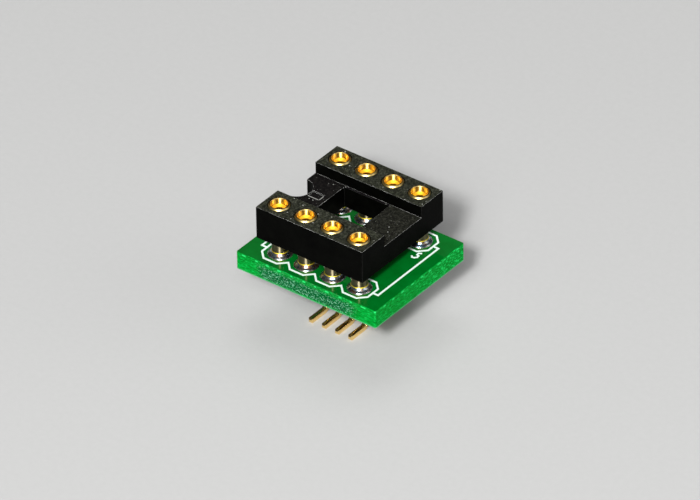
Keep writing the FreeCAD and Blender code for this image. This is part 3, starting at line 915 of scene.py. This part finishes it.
def moulding_mesh():
    """The socket's moulding; all its edges get the worn edge finish with its painted highlight but those
    round the contacts.
    """
    half_x, half_y = body_high.x, body_high.y
    bridge = RAIL_TOP - BRIDGE_DROP
    over, under, past = RAIL_TOP + 1, BODY_FOOT - 1, half_x + 1
    block = prism(rectangle(-half_x, -half_y, half_x, half_y), BODY_FOOT, RAIL_TOP)
    cutters = [
        prism(rectangle(-past, -RAIL_INSIDE, past, RAIL_INSIDE), bridge, over),
        prism(rectangle(-OPENING_X, -OPENING_Y, OPENING_X, OPENING_Y), under, over),
        prism(circle(-half_x, 0, NOTCH_RADIUS, SEGMENTS), under, over),
        prism(rectangle(GATE_LEFT, -GATE_SIDE, GATE_RIGHT, GATE_SIDE), bridge - GATE_DEPTH, over),
    ]
    for x, y in CONTACTS.values():
        cutters.append(prism(circle(x, y, BARREL_HOLE, HOLE_SEGMENTS), under, over))
        cutters.append(prism(circle(x, y, RELIEF_RADIUS, HOLE_SEGMENTS), RAIL_TOP - RELIEF_DEPTH, over))
    mesh = cut_and_bevel("moulding", block, cutters, (MOULDING, WORN_AND_GLINTING_EDGE), width=0.04, steps=3)
    relief_edge = RELIEF_RADIUS + 0.07
    for polygon in mesh.polygons:
        for x, y in CONTACTS.values():
            if math.hypot(polygon.center.x - x, polygon.center.y - y) < relief_edge:
                polygon.material_index = 0
    return mesh


def board_mesh():
    """The board: lacquered faces and a bare cut edge."""
    inside_x, inside_y = board_high.x - BOARD_CORNER, board_high.y - BOARD_CORNER
    outline = []
    for cx, cy, start in ((1, 1, 0), (-1, 1, 90), (-1, -1, 180), (1, -1, 270)):
        outline += arc(cx * inside_x, cy * inside_y, BOARD_CORNER, start, start + 90, 10)
    block = prism(outline, BOARD_FOOT, BOARD_TOP)
    mesh = cut_and_bevel("board", block, [], (LACQUER, LAMINATE), width=0.03, steps=2)
    for polygon in mesh.polygons:
        polygon.material_index = 0 if abs(polygon.normal.z) > 0.99 else 1
    return mesh


def carrier_mesh():
    """The foot carrier: one cell for each pair of legs, with a bevelled groove between two cells."""
    low, high = box_mm("foot_carrier")
    side, inner, gap = high.y, high.y - CARRIER_GROOVE, 0.004
    outline = []
    for facing in (-1, 1):
        for cell in range(4):
            a = -facing * (cell - 2) * CARRIER_PITCH
            b = -facing * (cell - 1) * CARRIER_PITCH
            outline.append((a, facing * inner))
            outline.append((a - facing * CARRIER_GROOVE, facing * side))
            outline.append((b + facing * CARRIER_GROOVE, facing * side))
        outline.append((b, facing * inner))
    block = prism(outline, low.z, high.z - gap)
    return cut_and_bevel("carrier", block, [], (MOULDING, MOULDING), width=0.04, steps=2)


piece("socket_moulding", moulding_mesh(), MOULDING, "moulding", ["socket_body"], 50, WORN_AND_GLINTING_EDGE)
piece("board_plate", board_mesh(), LACQUER, "solder_mask", ["board"], 50, LAMINATE)
piece("leg_carrier", carrier_mesh(), MOULDING, "moulding", ["foot_carrier"], 50)

spin = random.Random(11)
GOLDS = (HEAD_GOLD, RIM_GOLD, BORE_GOLD, BEAD_GOLD)
for n, (x, y) in CONTACTS.items():
    piece(f"sleeve_{n}", sleeve_mesh(x, y), SHADED_BARREL_GOLD, "gold_contact", [f"contact_{n}"], 30, *GOLDS)
    piece(f"clip_{n}", clip_shape(x, y, spin.uniform(0, math.pi / 2)), CLIP, "gold_clip")
    piece(f"solder_{n}", solder_shape(x, y, n), SOLDER, "solder")
    piece(f"land_{n}", land_shape(x, y, *CONTACT_LAND), TIN, "tinned_copper")
for n, (x, y) in LEGS.items():
    piece(f"foot_{n}", foot_shape(x, y, -1 if y < 0 else 1), PIN, "gold_pin", [f"foot_pin_{n}"])
    piece(f"leg_solder_{n}", leg_solder_shape(x, y, n), SOLDER, "solder")
    piece(f"leg_land_{n}", land_shape(x, y, *LEG_LAND), TIN, "tinned_copper")

piece("printed_figure", figure_shape(), INK, "printed_ink")

for node, material in (("legend", INK), ("bottom_traces", TRACK)):
    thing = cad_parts[node]
    thing.data.materials.clear()
    thing.data.materials.append(material)


# Floor, light and camera

FLOOR_HALF = 3
CAMERA_AZIMUTH, CAMERA_ELEVATION, CAMERA_ROLL = 37.917, 35.2235, -0.887
CAMERA_DISTANCE, PIXELS_PER_MM = 673.0, 13.0829
AIM_PIXEL = (350.20, 247.006)
FRAME_PIXELS = (700, 500)

# Lamps, in metres and watts: name, turn from the camera's azimuth, elevation, width, height, power.
# The small spark within the soft key gives the hard white glints on metal.
LAMP_DISTANCE, LAMP_AIM = 0.90, 0.006
LAMPS = (
    ("key", -9, 38, 0.34, 0.34, 5.5),
    ("spark", -9, 38, 0.08, 0.08, 8.0),
    ("fill", 75, 30, 0.60, 0.40, 1.0),
    ("back", 180, 68, 0.60, 0.60, 2.0),
)
WORLD_STRENGTH = 0.05


def make_stage():
    """The floor, a square that reaches far past the camera's view."""
    corners = rectangle(-FLOOR_HALF, -FLOOR_HALF, FLOOR_HALF, FLOOR_HALF)
    mesh = bpy.data.meshes.new("floor")
    mesh.from_pydata([(x, y, 0) for x, y in corners], [], [(0, 1, 2, 3)])
    mesh.materials.append(FLOOR)
    floor = bpy.data.objects.new("floor", mesh)
    bpy.context.scene.collection.objects.link(floor)


def direction(azimuth, elevation):
    """From the object to a camera or lamp, angles in radians; azimuth 0 is in front, pi / 2 at the right."""
    level = math.cos(elevation)
    return Vector((math.sin(azimuth) * level, -math.cos(azimuth) * level, math.sin(elevation)))


def softbox(name, azimuth, elevation, width, height, power):
    """A soft light that looks at the object, angles in degrees."""
    away = direction(math.radians(azimuth), math.radians(elevation))
    data = bpy.data.lights.new(name, "AREA")
    data.shape = "RECTANGLE"
    data.size, data.size_y = width, height
    data.energy = power
    lamp = bpy.data.objects.new(name, data)
    lamp.location = Vector((0, 0, LAMP_AIM)) + away * LAMP_DISTANCE
    lamp.rotation_mode = "QUATERNION"
    lamp.rotation_quaternion = away.to_track_quat("Z", "Y")
    bpy.context.scene.collection.objects.link(lamp)


def make_world():
    """A faint even light from all sides."""
    world = bpy.data.worlds.new("studio")
    bpy.context.scene.world = world
    world.use_nodes = True
    background = world.node_tree.nodes["Background"]
    background.inputs["Color"].default_value = (1, 1, 1, 1)
    background.inputs["Strength"].default_value = WORLD_STRENGTH


def make_camera():
    """The camera of the photograph; the board's upper face has its middle at AIM_PIXEL."""
    azimuth, elevation, roll = (math.radians(v) for v in (CAMERA_AZIMUTH, CAMERA_ELEVATION, CAMERA_ROLL))
    right = Vector((math.cos(azimuth), math.sin(azimuth), 0))
    back = direction(azimuth, elevation)
    up = back.cross(right)
    turned_right = right * math.cos(roll) + up * math.sin(roll)
    turned_up = up * math.cos(roll) - right * math.sin(roll)
    shift_x = (AIM_PIXEL[0] - FRAME_PIXELS[0] / 2) / PIXELS_PER_MM
    shift_y = (FRAME_PIXELS[1] / 2 - AIM_PIXEL[1]) / PIXELS_PER_MM
    place = Vector((0, 0, BOARD_TOP)) + back * CAMERA_DISTANCE
    place = place - turned_right * shift_x - turned_up * shift_y
    data = bpy.data.cameras.new("camera")
    data.lens = PIXELS_PER_MM * CAMERA_DISTANCE * data.sensor_width / FRAME_PIXELS[0]
    data.clip_start, data.clip_end = 0.01, 20
    camera = bpy.data.objects.new("camera", data)
    rotation = Matrix((turned_right, turned_up, back)).transposed().to_4x4()
    camera.matrix_world = Matrix.Translation(place * MM) @ rotation
    bpy.context.scene.collection.objects.link(camera)
    bpy.context.scene.camera = camera


make_stage()
for name, turn, elevation, width, height, power in LAMPS:
    softbox(name, CAMERA_AZIMUTH + turn, elevation, width, height, power)
make_world()
bpy.context.scene.view_settings.view_transform = "Standard"
make_camera()
